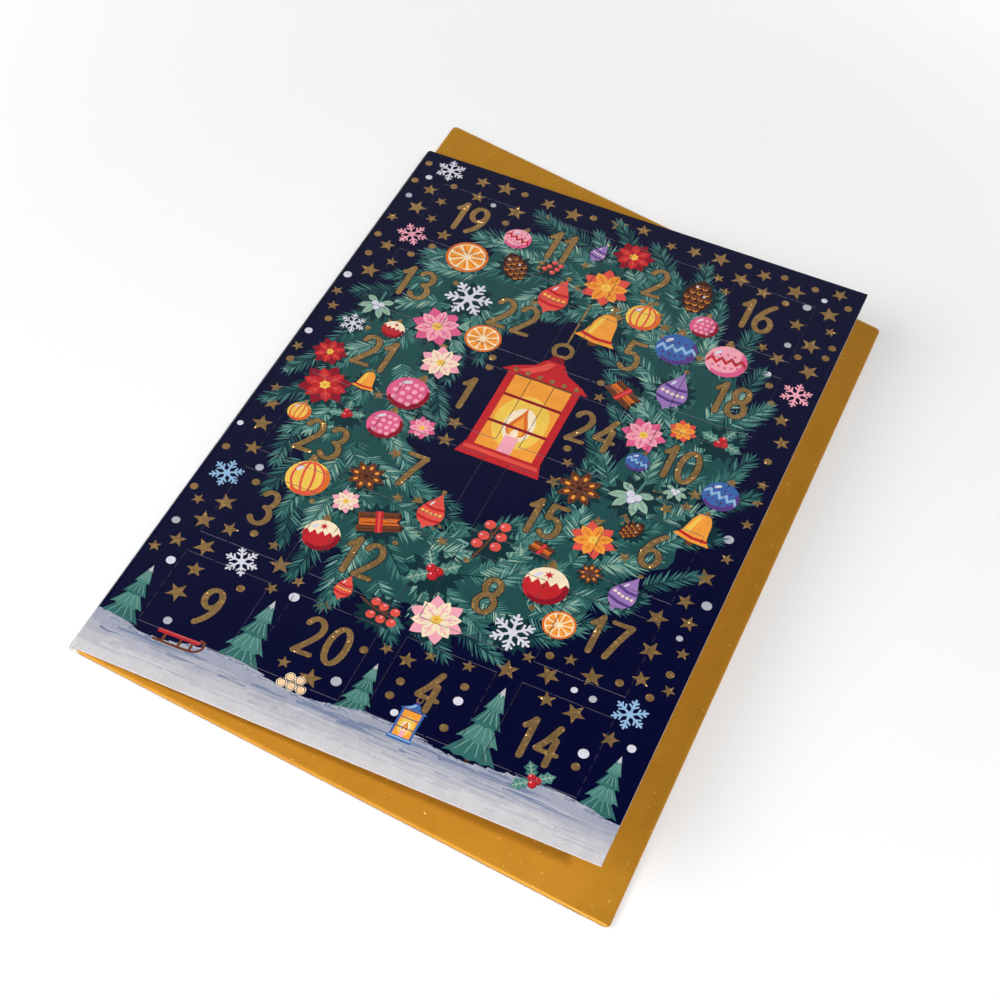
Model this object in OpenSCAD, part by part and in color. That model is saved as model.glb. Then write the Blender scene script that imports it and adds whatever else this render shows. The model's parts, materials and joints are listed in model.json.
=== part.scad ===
// Advent calendar card: a folded board card with perforated doors in its cover, a picture
// sheet glued behind them, and its envelope tucked into the fold. Millimetres.
// The card lies on its back panel, spine to the left (-X), foot towards -Y, +Z up.
// The origin is under the middle of the whole, on the surface the card lies on.

/* [Card] */
// Thickness of the folded board
board_t = 0.4; // [0.25:0.05:0.8]
// Thickness of the picture sheet behind the doors
picture_t = 0.3; // [0.15:0.05:0.6]
// Thickness of the adhesive between cover and picture sheet
glue_t = 0.05; // [0.02:0.01:0.1]
// Angle at which the cover rests above the back panel
cover_angle = 10; // [0:0.5:60]
// Board between the spine edge and the first column of doors
spine_margin = 9.6; // [5:0.1:30]
// Board between the last column of doors and the free edge
free_margin = 10.1; // [4:0.1:30]
// Board above the top row of doors
head_margin = 10; // [4:0.1:40]
// Board below the bottom row of doors
foot_margin = 11.7; // [4:0.1:40]
// Air above and below the envelope when the cover is shut on it
inside_clear = 0.1; // [0.05:0.05:1]

/* [Doors] */
// Width of a door, square to its crease
door_w = 20.8; // [12:0.1:40]
// Height of a door, along its crease
door_h = 20.8; // [12:0.1:40]
// Board between two columns of doors
bar_w = 5.7; // [2:0.1:20]
// Board between two rows of doors
bar_h = 5.7; // [2:0.1:20]
// Width of the cut round the three free sides of a door
kerf = 0.16; // [0.08:0.02:0.5]
// Gap left at the crease, where the board bends
crease_gap = 0.02; // [0.01:0.01:0.05]
// Length of one slit of the perforated crease
slit_l = 1.6; // [0.8:0.1:3]
// Width of one slit of the perforated crease
slit_w = 0.16; // [0.08:0.02:0.5]
// Length of board left between two slits
tab_l = 1.35; // [0.6:0.05:3]
// Width of an uncut nib that holds a door shut
nib_w = 0.45; // [0.2:0.05:1]
// Tear gap between a nib and the edge of the window
nib_gap = 0.02; // [0.01:0.01:0.05]
// Strip round each window that is kept free of adhesive
glue_free = 0.8; // [0.3:0.1:2]

/* [Envelope] */
// Thickness of the envelope paper
paper_t = 0.14; // [0.08:0.02:0.3]
// Thickness of the seam glue and of the gum
gum_t = 0.03; // [0.02:0.01:0.08]
// Free height inside the empty envelope
pocket_h = 0.5; // [0.04:0.02:2]
// How much wider than the card the envelope is
envelope_over_w = 4; // [2:0.1:20]
// How much taller than the card the envelope is
envelope_over_h = 13.5; // [2:0.1:40]
// Air between the inside of the fold and the envelope's edge
envelope_inset = 1.3; // [0.5:0.1:10]
// How far the envelope sticks out at the foot of the card
envelope_drop = 0.3; // [-5:0.1:10]
// Length cut away from every fold at the envelope's corners, also the corner radius
corner_relief = 0.9; // [0.6:0.1:4]
// Depth of the two short side flaps
side_flap_d = 24; // [16:1:60]
// Taper at each end of a side flap
side_flap_taper = 13; // [2:1:30]
// Depth of the long back flap
back_flap_d = 82; // [50:1:100]
// Taper at each end of the back flap
back_flap_taper = 3; // [1:0.5:10]
// How far the closing flap laps over the back flap
flap_overlap = 9; // [6:0.5:30]
// Taper at each end of the closing flap
closing_flap_taper = 34; // [5:1:60]
// Radius of the flaps' free corners
flap_corner_r = 6; // [1:0.5:12]
// Width of a seam glue line
seam_w = 6; // [3:0.5:10]
// Width of the gummed band on the closing flap
gum_w = 5; // [3:0.5:8]
// Bare paper beside each glue line and beside the gum
glue_edge = 2; // [1:0.5:4]

/* [Hidden] */
// Numbers on the doors, row by row from the head of the card
DOOR_ORDER = [
    [19, 11, 2, 16],
    [13, 22, 5, 18],
    [21, 1, 24, 10],
    [23, 7, 15, 6],
    [3, 12, 8, 17],
    [9, 20, 4, 14]
];
rows = len(DOOR_ORDER);
cols = len(DOOR_ORDER[0]);
doors = rows * cols;
nibs_per_side = 2;
arc_steps = 6;
$fn = 64;

// Size of the folded card, from its doors and margins
pitch_x = door_w + bar_w;
pitch_y = door_h + bar_h;
card_w = spine_margin + cols * door_w + (cols - 1) * bar_w + free_margin;
card_h = head_margin + rows * door_h + (rows - 1) * bar_h + foot_margin;

// Envelope layers from below: closing flap, gum, back flap, seam glue, side flaps, pocket, face
closing_flap_z = board_t + inside_clear;
gum_z = closing_flap_z + paper_t;
back_flap_z = gum_z + gum_t;
seam_z = back_flap_z + paper_t;
side_flap_z = seam_z + gum_t;
face_z = side_flap_z + paper_t + pocket_h;
face_top = face_z + paper_t;
envelope_t = face_top - closing_flap_z;

// The fold is just wide enough for envelope and picture sheet when the card is shut
fold_r = (envelope_t + 2 * inside_clear + glue_t + picture_t) / 2;
fold_outer_r = fold_r + board_t;
fold_x = fold_outer_r;
fold_z = fold_outer_r;
cover_reach = card_w - fold_outer_r;
first_door_x = spine_margin - fold_outer_r;

// Place and size of the envelope, and the outer radius of each of its folds
envelope_x = fold_x - fold_r + envelope_inset;
envelope_y = -envelope_drop;
envelope_w = card_w + envelope_over_w;
envelope_h = card_h + envelope_over_h;
closing_fold_r = (face_top - closing_flap_z) / 2;
back_fold_r = (face_top - back_flap_z) / 2;
side_fold_r = (face_top - side_flap_z) / 2;
closing_flap_d = envelope_w - back_flap_d + flap_overlap;

// Middle of the whole, which becomes the origin
right_x = max(envelope_x + envelope_w, fold_x + cover_reach * cos(cover_angle));
low_y = min(0, envelope_y);
high_y = max(card_h, envelope_y + envelope_h);
mid_x = right_x / 2;
mid_y = (low_y + high_y) / 2;

// Perforated crease of one door
slit_pitch = slit_l + tab_l;
slit_count = floor(door_h / slit_pitch);
first_slit_y = (door_h - slit_count * slit_pitch + tab_l) / 2;

function door_name(n) = str("door_", n < 10 ? "0" : "", n);
function door_cell(n) = [
    for (r = [0 : rows - 1], c = [0 : cols - 1])
        if (DOOR_ORDER[r][c] == n) [c, r]
][0];
function window_x(c) = first_door_x + c * pitch_x;
function window_y(r) = foot_margin + (rows - 1 - r) * pitch_y;

navy = "#1b1b3c";
ivory = "#f1ece0";
clear_glue = "#d9d6c8";
gold = "#c48a2a";
pale_gum = "#d8c79a";

// Outline with each corner replaced by a smooth curve that starts its radius away from it
function unit(v) = v / norm(v);
function corner_curve(a, b, c, r) = [
    for (i = [0 : arc_steps])
        let (t = i / arc_steps, p = b + r * unit(a - b), q = b + r * unit(c - b))
        p * pow(1 - t, 2) + 2 * b * t * (1 - t) + q * pow(t, 2)
];
function rounded(points, radii) = [
    for (i = [0 : len(points) - 1])
        let (n = len(points), before = points[(i + n - 1) % n], after = points[(i + 1) % n])
        for (p = radii[i] > 0 ? corner_curve(before, points[i], after, radii[i]) : [points[i]]) p
];

// Moves the whole so that the origin is under its middle
module centred() {
    translate([-mid_x, -mid_y, 0])
        children();
}

// Frame of the cover: X from the fold axis to the free edge, Z out of the cover
module on_cover() {
    centred()
        translate([fold_x, 0, fold_z])
            rotate([0, -cover_angle, 0])
                children();
}

// Frame of one door: crease on the Y axis, X towards the free side
module on_door(n) {
    cell = door_cell(n);
    hinged_right = cell[0] >= cols / 2;
    translate([window_x(cell[0]) + (hinged_right ? door_w : 0), window_y(cell[1])])
        mirror([hinged_right ? 1 : 0, 0])
            children();
}

module windows(grow) {
    for (r = [0 : rows - 1], c = [0 : cols - 1])
        translate([window_x(c) - grow, window_y(r) - grow])
            square([door_w + 2 * grow, door_h + 2 * grow]);
}

// Board and fold

module back_panel() {
    color(navy)
        centred()
            translate([fold_x, 0, 0])
                cube([cover_reach, card_h, board_t]);
}

module spine_fold() {
    color(navy)
        centred()
            translate([fold_x, card_h, fold_z])
                rotate([90, 0, 0])
                    rotate([0, 0, 90 + cover_angle])
                        rotate_extrude(angle = 180 - cover_angle)
                            translate([fold_r, 0])
                                square([board_t, card_h]);
}

module cover_sheet() {
    color(navy)
        on_cover()
            translate([0, 0, fold_r])
                linear_extrude(board_t)
                    difference() {
                        square([cover_reach, card_h]);
                        windows(0);
                    }
}

// Doors, adhesive and pictures

module crease_slits() {
    for (i = [0 : slit_count - 1])
        translate([-slit_w, first_slit_y + i * slit_pitch])
            square([2 * slit_w, slit_l]);
}

module door_nibs() {
    reach = kerf - nib_gap;
    for (i = [1 : nibs_per_side]) {
        along_w = door_w * i / (nibs_per_side + 1) - nib_w / 2;
        along_h = door_h * i / (nibs_per_side + 1) - nib_w / 2;
        translate([along_w, nib_gap])
            square([nib_w, 2 * reach]);
        translate([along_w, door_h - nib_gap - 2 * reach])
            square([nib_w, 2 * reach]);
        translate([door_w - nib_gap - 2 * reach, along_h])
            square([2 * reach, nib_w]);
    }
}

module door_outline() {
    difference() {
        union() {
            translate([crease_gap, kerf])
                square([door_w - kerf - crease_gap, door_h - 2 * kerf]);
            door_nibs();
        }
        crease_slits();
    }
}

module door(n) {
    color(navy)
        on_cover()
            translate([0, 0, fold_r])
                linear_extrude(board_t)
                    on_door(n)
                        door_outline();
}

module glue_film() {
    color(clear_glue)
        on_cover()
            translate([0, 0, fold_r - glue_t])
                linear_extrude(glue_t)
                    difference() {
                        square([cover_reach, card_h]);
                        windows(glue_free);
                    }
}

module picture_sheet() {
    color(ivory)
        on_cover()
            translate([0, 0, fold_r - glue_t - picture_t])
                cube([cover_reach, card_h, picture_t]);
}

// Envelope

// Frame of the envelope: X across, Y along, from its foot corner at the spine side
module on_envelope(z) {
    centred()
        translate([envelope_x, envelope_y, z])
            children();
}

// A flap in its own frame: fold along Y at X = 0, paper towards +X at Z = 0.
// The half-round fold stands above the sheet and ends at the top of the face panel.
module folded_flap(length, depth, taper, corner_r, outer_r) {
    inner_r = outer_r - paper_t;
    tip = depth - outer_r;
    translate([outer_r, 0, 0]) {
        linear_extrude(paper_t)
            polygon(rounded(
                [[0, corner_relief], [tip, corner_relief + taper],
                 [tip, length - corner_relief - taper], [0, length - corner_relief]],
                [0, corner_r, corner_r, 0]
            ));
        translate([0, length - corner_relief, outer_r])
            rotate([90, 0, 0])
                rotate([0, 0, 90])
                    rotate_extrude(angle = 180)
                        translate([inner_r, 0])
                            square([paper_t, length - 2 * corner_relief]);
    }
}

module envelope_face() {
    left = back_fold_r;
    right = envelope_w - closing_fold_r;
    foot = side_fold_r;
    head = envelope_h - side_fold_r;
    color(gold)
        on_envelope(face_z)
            linear_extrude(paper_t)
                polygon(rounded(
                    [[left, foot], [right, foot], [right, head], [left, head]],
                    [for (i = [0 : 3]) corner_relief]
                ));
}

module side_flap() {
    folded_flap(envelope_w, side_flap_d, side_flap_taper, flap_corner_r, side_fold_r);
}

module envelope_top_flap() {
    color(gold)
        on_envelope(side_flap_z)
            translate([0, envelope_h, 0])
                rotate([0, 0, -90])
                    side_flap();
}

module envelope_foot_flap() {
    color(gold)
        on_envelope(side_flap_z)
            translate([envelope_w, 0, 0])
                rotate([0, 0, 90])
                    side_flap();
}

module envelope_back_flap() {
    color(gold)
        on_envelope(back_flap_z)
            folded_flap(envelope_h, back_flap_d, back_flap_taper, flap_corner_r, back_fold_r);
}

module seam_glue() {
    start_x = corner_relief + side_flap_taper + glue_edge;
    end_x = back_flap_d - flap_corner_r - glue_edge;
    from_edge = corner_relief + back_flap_taper + glue_edge;
    color(clear_glue)
        on_envelope(seam_z)
            for (y = [from_edge, envelope_h - from_edge - seam_w])
                translate([start_x, y, 0])
                    cube([end_x - start_x, seam_w, gum_t]);
}

module envelope_closing_flap() {
    color(gold)
        on_envelope(closing_flap_z)
            translate([envelope_w, envelope_h, 0])
                rotate([0, 0, 180])
                    folded_flap(envelope_h, closing_flap_d, closing_flap_taper,
                                flap_corner_r, closing_fold_r);
}

module gum_strip() {
    from_end = corner_relief + closing_flap_taper + flap_corner_r + glue_edge;
    color(pale_gum)
        on_envelope(gum_z)
            translate([envelope_w - closing_flap_d + glue_edge, from_end, 0])
                cube([gum_w, envelope_h - 2 * from_end, gum_t]);
}

back_panel();
spine_fold();
cover_sheet();
glue_film();
picture_sheet();
for (n = [1 : doors])
    door(n);
envelope_face();
envelope_top_flap();
envelope_foot_flap();
envelope_back_flap();
seam_glue();
envelope_closing_flap();
gum_strip();
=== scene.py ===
import json
import math
import random

import bpy
import numpy as np
from mathutils import Euler, Matrix, Vector
from mathutils.geometry import delaunay_2d_cdt


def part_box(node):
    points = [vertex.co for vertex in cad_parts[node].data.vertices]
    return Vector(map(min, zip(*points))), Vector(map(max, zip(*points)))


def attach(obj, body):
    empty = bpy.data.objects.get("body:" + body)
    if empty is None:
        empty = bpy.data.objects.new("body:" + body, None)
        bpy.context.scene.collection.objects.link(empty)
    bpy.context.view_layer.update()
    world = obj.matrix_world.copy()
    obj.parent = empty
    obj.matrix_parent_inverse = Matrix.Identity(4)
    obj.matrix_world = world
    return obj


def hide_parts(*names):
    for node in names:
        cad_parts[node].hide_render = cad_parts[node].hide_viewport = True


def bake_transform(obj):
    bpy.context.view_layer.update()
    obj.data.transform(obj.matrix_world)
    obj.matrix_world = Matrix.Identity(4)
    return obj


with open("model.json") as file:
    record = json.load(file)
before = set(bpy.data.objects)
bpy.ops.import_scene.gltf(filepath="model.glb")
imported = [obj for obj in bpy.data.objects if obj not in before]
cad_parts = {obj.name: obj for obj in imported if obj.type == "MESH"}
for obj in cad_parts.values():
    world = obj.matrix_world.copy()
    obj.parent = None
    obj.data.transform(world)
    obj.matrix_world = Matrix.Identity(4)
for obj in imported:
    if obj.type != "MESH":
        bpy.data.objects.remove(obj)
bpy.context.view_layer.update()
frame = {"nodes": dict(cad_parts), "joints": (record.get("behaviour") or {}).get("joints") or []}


# Back panel
# The rear half of the folded card, one leaf of white-cored board 0.4 mm thick. It is printed
# and sealed navy outside, left bare inside, and carries on into the spine fold.
def shade(red, green, blue):
    """A colour as a printer writes it, 0 to 255, turned into the renderer's linear numbers."""
    return tuple(x / 12.92 if x <= 0.04045 else ((x + 0.055) / 1.055) ** 2.4
                 for x in (red / 255, green / 255, blue / 255)) + (1.0,)


def feed(tree, node, links=(), **values):
    """Sets a node's properties and sockets, and joins sockets to other nodes' outputs."""
    for name, value in values.items():
        if hasattr(node, name):
            setattr(node, name, value)
        else:
            node.inputs[name.replace("_", " ")].default_value = value
    for socket, output in dict(links).items():
        tree.links.new(output, node.inputs[socket])
    return node


def wire(tree, kind, links=(), **values):
    """Adds a shader node, set and joined."""
    return feed(tree, tree.nodes.new("ShaderNode" + kind), links, **values)


def effect(name, inputs, outputs):
    """An empty node group with named sockets; returns its tree, its input node and its output node."""
    tree = bpy.data.node_groups.new(name, "ShaderNodeTree")
    for label, kind, value in inputs:
        tree.interface.new_socket(label, in_out="INPUT", socket_type=kind).default_value = value
    for label, kind in outputs:
        tree.interface.new_socket(label, in_out="OUTPUT", socket_type=kind)
    return tree, tree.nodes.new("NodeGroupInput"), tree.nodes.new("NodeGroupOutput")


def finish(name):
    """A new material; returns it with its tree and its Principled shader."""
    material = bpy.data.materials.new(name)
    material.use_nodes = True
    return material, material.node_tree, material.node_tree.nodes["Principled BSDF"]


def calc(tree, operation, *terms, kind="Math"):
    """A maths node on other nodes' outputs or plain numbers; returns its result."""
    node = tree.nodes.new("ShaderNode" + kind)
    node.operation = operation
    for socket, term in zip(node.inputs, terms):
        if isinstance(term, bpy.types.NodeSocket):
            tree.links.new(term, socket)
        else:
            socket.default_value = term
    return node.outputs[0]


FLOAT, COLOUR, VECTOR = "NodeSocketFloat", "NodeSocketColor", "NodeSocketVector"
fibre, given, out = effect(
    "paper_fibre",
    [("Colour", COLOUR, (1, 1, 1, 1)), ("Mottle", FLOAT, 0.1), ("Smooth", FLOAT, 0.36),
     ("Dull", FLOAT, 0.52)],
    [("Colour", COLOUR), ("Rough", FLOAT), ("Height", FLOAT)])
colour, mottle, smooth, dull = given.outputs[:4]
spot = wire(fibre, "TexCoord").outputs["Object"]
drawn = wire(fibre, "Mapping", {"Vector": spot}, Scale=(1.0, 0.35, 1.0)).outputs[0]
felt = wire(fibre, "TexNoise", {"Vector": drawn}, Scale=3200, Detail=3, Roughness=0.6).outputs[0]
cloud = wire(fibre, "TexNoise", {"Vector": spot}, Scale=260, Detail=4, Roughness=0.55).outputs[0]
swing = calc(fibre, "MULTIPLY", calc(fibre, "ADD", felt, cloud), mottle)
tone = calc(fibre, "SUBTRACT", 1.0, calc(fibre, "SUBTRACT", mottle, swing))
tinted = calc(fibre, "MULTIPLY", colour, tone, kind="VectorMath")
rough = wire(fibre, "MapRange", {"Value": cloud, "To Min": smooth, "To Max": dull}).outputs[0]
feed(fibre, out, {"Colour": tinted, "Rough": rough, "Height": felt})


def paper(name, colour, mottle, bump, specular=0.35):
    """A paper or board surface: felted tone, uneven gloss and a fibre tooth."""
    material, tree, shader = finish(name)
    tooth = wire(tree, "Group", node_tree=fibre, Colour=shade(*colour), Mottle=mottle)
    raised = wire(tree, "Bump", {"Height": tooth.outputs["Height"]}, Strength=bump, Distance=2e-5)
    feed(tree, shader, {"Base Color": tooth.outputs["Colour"], "Roughness": tooth.outputs["Rough"],
                        "Normal": raised.outputs[0]}, Specular_IOR_Level=specular)
    return material


def coated(node, *materials):
    """Gives a plain node its materials; returns its mesh."""
    mesh = frame["nodes"][node].data
    mesh.materials.clear()
    for material in materials:
        mesh.materials.append(material)
    return mesh


navy_board = paper("navy_board", (6, 9, 46), 0.16, 0.15)
board_core = paper("board_core", (214, 208, 211), 0.06, 0.5, 0.2)
board_inside = paper("board_inside", (240, 237, 230), 0.06, 0.4, 0.2)
for face in coated("back_panel", navy_board, board_inside, board_core).polygons:
    face.material_index = 0 if face.normal.z < -0.5 else 1 if face.normal.z > 0.5 else 2


# Printed picture
# What the press lays on the cover before it is cut: a fir wreath hung with trimmings and a lantern
# on a starry night, over a bank of snow. Stars, numerals and ornament caps are stamped in gold foil.
INKS = {
    "navy": (6, 9, 46), "deep": (18, 50, 56), "pine": (34, 78, 78), "fir": (54, 106, 102),
    "spruce": (78, 130, 122), "frost": (120, 164, 154), "sage": (152, 184, 162), "red": (196, 40, 46),
    "wine": (142, 22, 40), "coral": (228, 84, 72), "pink": (226, 96, 140), "blush": (246, 168, 184),
    "orange": (224, 112, 40), "amber": (246, 160, 62), "yellow": (244, 200, 84), "cream": (250, 230, 196),
    "white": (218, 217, 228), "lilac": (156, 120, 184), "violet": (88, 62, 132), "blue": (62, 104, 170),
    "sky": (150, 186, 222), "bark": (112, 62, 40), "cocoa": (66, 34, 26), "shadow": (122, 134, 162),
    "dusk": (162, 166, 183), "haze": (180, 181, 192), "snow": (196, 194, 200), "drift": (209, 207, 210),
    "foil": (236, 190, 124),
}
SHEET_W, SHEET_H = 120.0, 175.0
DOOR_ORDER = ((19, 11, 2, 16), (13, 22, 5, 18), (21, 1, 24, 10),
              (23, 7, 15, 6), (3, 12, 8, 17), (9, 20, 4, 14))
DOOR, PITCH, SPINE_MARGIN, FOOT_MARGIN = 20.8, 26.5, 9.6, 11.7
picture = []


def paint(ink, outline):
    """Lays a shape of one ink over what is already painted, in millimetres on the sheet."""
    picture.append((ink, [(min(max(u, 0.0), SHEET_W), min(max(v, 0.0), SHEET_H)) for u, v in outline]))


def spot_on(place, size=1.0, turn=0.0):
    """A shape drawn about its own middle is carried to its place on the sheet by what this returns."""
    c, s = math.cos(turn) * size, math.sin(turn) * size
    return lambda outline: [(place[0] + c * x - s * y, place[1] + s * x + c * y) for x, y in outline]


def oval(x, y, rx, ry, n):
    """An oval of n corners."""
    return [(x + rx * math.cos(math.tau * k / n), y + ry * math.sin(math.tau * k / n)) for k in range(n)]


def dot(x, y, r, n):
    return oval(x, y, r, r, n)


def dab(at, ink, x, y, r, n):
    """A round dab on a shape drawn about its own middle."""
    paint(ink, at(dot(x, y, r, n)))


def slab(left, low, right, top):
    return [(left, low), (right, low), (right, top), (left, top)]


def leaf(length, width, belly=0.45, n=4):
    """A leaf along the x axis, widest at the share belly of its length."""
    power = math.log(0.5) / math.log(belly)
    side = [(length * t, width / 2 * math.sin(math.pi * t ** power)) for t in np.linspace(0, 1, n + 2)]
    return side + [(x, -y) for x, y in side[-2:0:-1]]


def rays(n, outer, inner, start=math.pi / 2):
    """A star of n rays about the middle."""
    turns = [(outer if k % 2 == 0 else inner, start + math.pi * k / n) for k in range(2 * n)]
    return [(r * math.cos(a), r * math.sin(a)) for r, a in turns]


def arc(x, y, rx, ry, first, last, n=12):
    """A line round part of an oval, from one angle in degrees to another."""
    turns = [math.radians(first + (last - first) * k / n) for k in range(n + 1)]
    return [(x + rx * math.cos(a), y + ry * math.sin(a)) for a in turns]


def mirrored(half):
    """A closed outline from its right half, which starts and ends on the middle line."""
    return half + [(-x, y) for x, y in half[::-1] if abs(x) > 1e-6]


def flowing(points, n=6):
    """A smooth line through the points."""
    p = np.array([points[0], *points, points[-1]], float)
    line = []
    for a, b, c, d in zip(p, p[1:], p[2:], p[3:]):
        for t in np.linspace(0, 1, n, endpoint=False):
            bow = (2 * a - 5 * b + 4 * c - d) * t * t + (3 * b - a - 3 * c + d) * t ** 3
            line.append(tuple(0.5 * (2 * b + (c - a) * t + bow)))
    return line + [tuple(points[-1])]


def brush(points, width, level=1.0, tail=1.0):
    """A round-ended stroke along the points: level thins it where it runs level, tail thins its end."""
    p = np.array(points, float)
    d = np.gradient(p, axis=0)
    d /= np.maximum(np.hypot(d[:, 0], d[:, 1]), 1e-9)[:, None]
    w = width / 2 * (level + (1 - level) * np.abs(d[:, 1])) * np.linspace(1, tail, len(p))
    n = np.stack([-d[:, 1], d[:, 0]], 1)
    cap = [math.pi / 2 - math.pi * k / 5 for k in range(1, 5)]
    end = [p[-1] + w[-1] * (math.cos(a) * d[-1] + math.sin(a) * n[-1]) for a in cap]
    start = [p[0] - w[0] * (math.cos(a) * d[0] + math.sin(a) * n[0]) for a in cap]
    return [*(p + n * w[:, None]), *end, *(p - n * w[:, None])[::-1], *start]


def crystal(at, ink):
    for k in range(6):
        turn = spot_on((0, 0), 1, k * math.pi / 3)
        paint(ink, at(turn(brush([(0, 0), (0.96, 0)], 0.13))))
        for x, l in ((0.42, 0.3), (0.68, 0.22)):
            for side in (-1, 1):
                paint(ink, at(turn(brush([(x, 0), (x + 0.62 * l, side * 0.8 * l)], 0.11))))
    paint(ink, at(rays(6, 0.3, 0.2, 0)))


def bauble(at, body, dark, mark, pattern):
    paint("foil", at([(-0.2, 0.9), (-0.22, 1.18), (0.22, 1.18), (0.2, 0.9)]))
    dab(at, "foil", 0, 1.26, 0.15, 10)
    dab(at, body, 0, 0, 1, 28)
    edge = arc(0, 0, 1, 1, -130, 38)
    paint(dark, at(edge + [(0.86 * x - 0.09, 0.86 * y + 0.12) for x, y in edge[::-1]]))
    if pattern == "zigzag":
        zig = [(-0.94 + 0.235 * k, 0.2 if k % 2 else -0.12) for k in range(9)]
        paint(mark, at([(x, y + 0.12) for x, y in zig] + [(x, y - 0.12) for x, y in zig[::-1]]))
        for k in range(5):
            drop_in = 0.05 * abs(k - 2)
            dab(at, dark, -0.7 + 0.35 * k, 0.46 - drop_in, 0.08, 8)
            dab(at, dark, -0.6 + 0.3 * k, -0.42 + drop_in, 0.08, 8)
    if pattern == "dots":
        for y, half, n in ((0.62, 0.5, 3), (0.24, 0.78, 4), (-0.16, 0.8, 4), (-0.55, 0.6, 3)):
            for k in range(n):
                dab(at, mark, -half + 2 * half * (k + 0.5) / n, y, 0.13, 10)
    if pattern == "ribs":
        for x in (-0.72, -0.25, 0.25, 0.72):
            paint(mark, at(brush(arc(0, 0, x, 0.93, -80, 80), 0.11)))
    if pattern == "cap":
        fringe = [(-0.82 + 0.205 * k, 0.02 if k % 2 else 0.3) for k in range(9)]
        paint(mark, at([(-0.98, 0.16), *fringe, (0.98, 0.16), *arc(0, 0, 1, 1, 11, 169)]))
        paint(body, at([(x, y + 0.6) for x, y in rays(6, 0.24, 0.1)]))
    paint("white", at(spot_on((-0.45, 0.52), 1, 0.75)(oval(0, 0, 0.22, 0.1, 10))))


def drop(at, body, dark, mark):
    dab(at, "foil", 0, 1.42, 0.14, 8)
    side = [(0, 1.32), (0.2, 0.9), (0.56, 0.3), (0.72, -0.25), (0.5, -0.78), (0.16, -1.02), (0, -1.3)]
    paint(body, at(mirrored(flowing(side, 4))))
    for y, w in ((0.28, 0.56), (-0.52, 0.66)):
        band = [(-w, y - 0.1), (0, y - 0.2), (w, y - 0.1), (w, y + 0.08), (0, y - 0.02), (-w, y + 0.08)]
        paint(dark, at(band))
    for k in range(5):
        paint(mark, at(spot_on((-0.5 + 0.25 * k, -0.18 + 0.03 * abs(k - 2)), 0.13)(rays(4, 1, 0.5))))
    paint("white", at(spot_on((-0.24, 0.5), 1, 1.2)(oval(0, 0, 0.2, 0.06, 8))))


def flower(at, back, front, vein):
    for k in range(6):
        paint(back, at(spot_on((0, 0), 1, k * math.pi / 3 + 0.52)(leaf(1.04, 0.56, 0.55, 5))))
    for k in range(6):
        petal = spot_on((0, 0), 1, k * math.pi / 3)
        paint(front, at(petal(leaf(0.88, 0.46, 0.55, 5))))
        paint(vein, at(petal(brush([(0.2, 0), (0.7, 0)], 0.05))))
        for side in (-1, 1):
            paint(vein, at(petal(brush([(0.36, 0), (0.54, side * 0.12)], 0.035))))
    for k in range(6):
        paint("yellow", at(spot_on((0, 0), 1, 1.05 * k)(dot(0.13, 0, 0.085, 8))))
    dab(at, "amber", 0, 0, 0.07, 7)


def holly(at):
    half = [(0, 0), (0.16, 0.2), (0.26, 0.14), (0.42, 0.3), (0.54, 0.2), (0.74, 0.32), (0.84, 0.16),
            (1.06, 0)]
    for ink, a in (("spruce", 0.45), ("fir", 1.9), ("spruce", 3.6)):
        blade = spot_on((0, 0), 1, a)
        paint(ink, at(blade(half + [(x, -y) for x, y in half[-2:0:-1]])))
        paint("sage", at(blade(brush([(0.1, 0), (0.92, 0)], 0.06))))
        for x in (0.3, 0.52, 0.72):
            for side in (-1, 1):
                paint("sage", at(blade(brush([(x, 0), (x + 0.1, side * 0.15)], 0.035))))
    for x, y in ((0.16, 0.05), (-0.1, 0.16), (-0.02, -0.16)):
        dab(at, "wine", x + 0.02, y - 0.03, 0.2, 12)
        dab(at, "red", x, y, 0.18, 12)
        dab(at, "blush", x - 0.06, y + 0.07, 0.05, 6)


def orange_slice(at):
    dab(at, "orange", 0, 0, 1, 28)
    dab(at, "cream", 0, 0, 0.87, 26)
    wedge = [(0.13, 0), (0.42, 0.115), (0.72, 0.21), (0.8, 0.13), (0.81, -0.13), (0.72, -0.21),
             (0.42, -0.115)]
    for k in range(9):
        turn = spot_on((0, 0), 1, k * math.tau / 9)
        paint("amber", at(turn(wedge)))
        paint("orange", at(turn(brush([(0.34, 0.02), (0.7, 0.08)], 0.05))))


def cone(at):
    side = [(0, 1.1), (0.34, 0.82), (0.62, 0.2), (0.6, -0.4), (0.3, -0.9), (0, -1.05)]
    paint("cocoa", at(mirrored(flowing(side, 4))))
    scale = [(-0.17, 0.17), (-0.12, -0.1), (0, -0.19), (0.12, -0.1), (0.17, 0.17), (0, 0.09)]
    for y, n in ((-0.78, 2), (-0.42, 3), (-0.06, 4), (0.3, 3), (0.64, 2)):
        for k in range(n):
            x = (k - (n - 1) / 2) * 0.31
            paint("bark", at([(x + sx, y + sy) for sx, sy in scale]))
            paint("amber", at(brush([(x - 0.1, y - 0.07), (x, y - 0.15), (x + 0.1, y - 0.07)], 0.05)))
    for x, y in ((-0.2, 0.62), (0.26, 0.1)):
        dab(at, "white", x, y, 0.07, 6)


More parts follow.
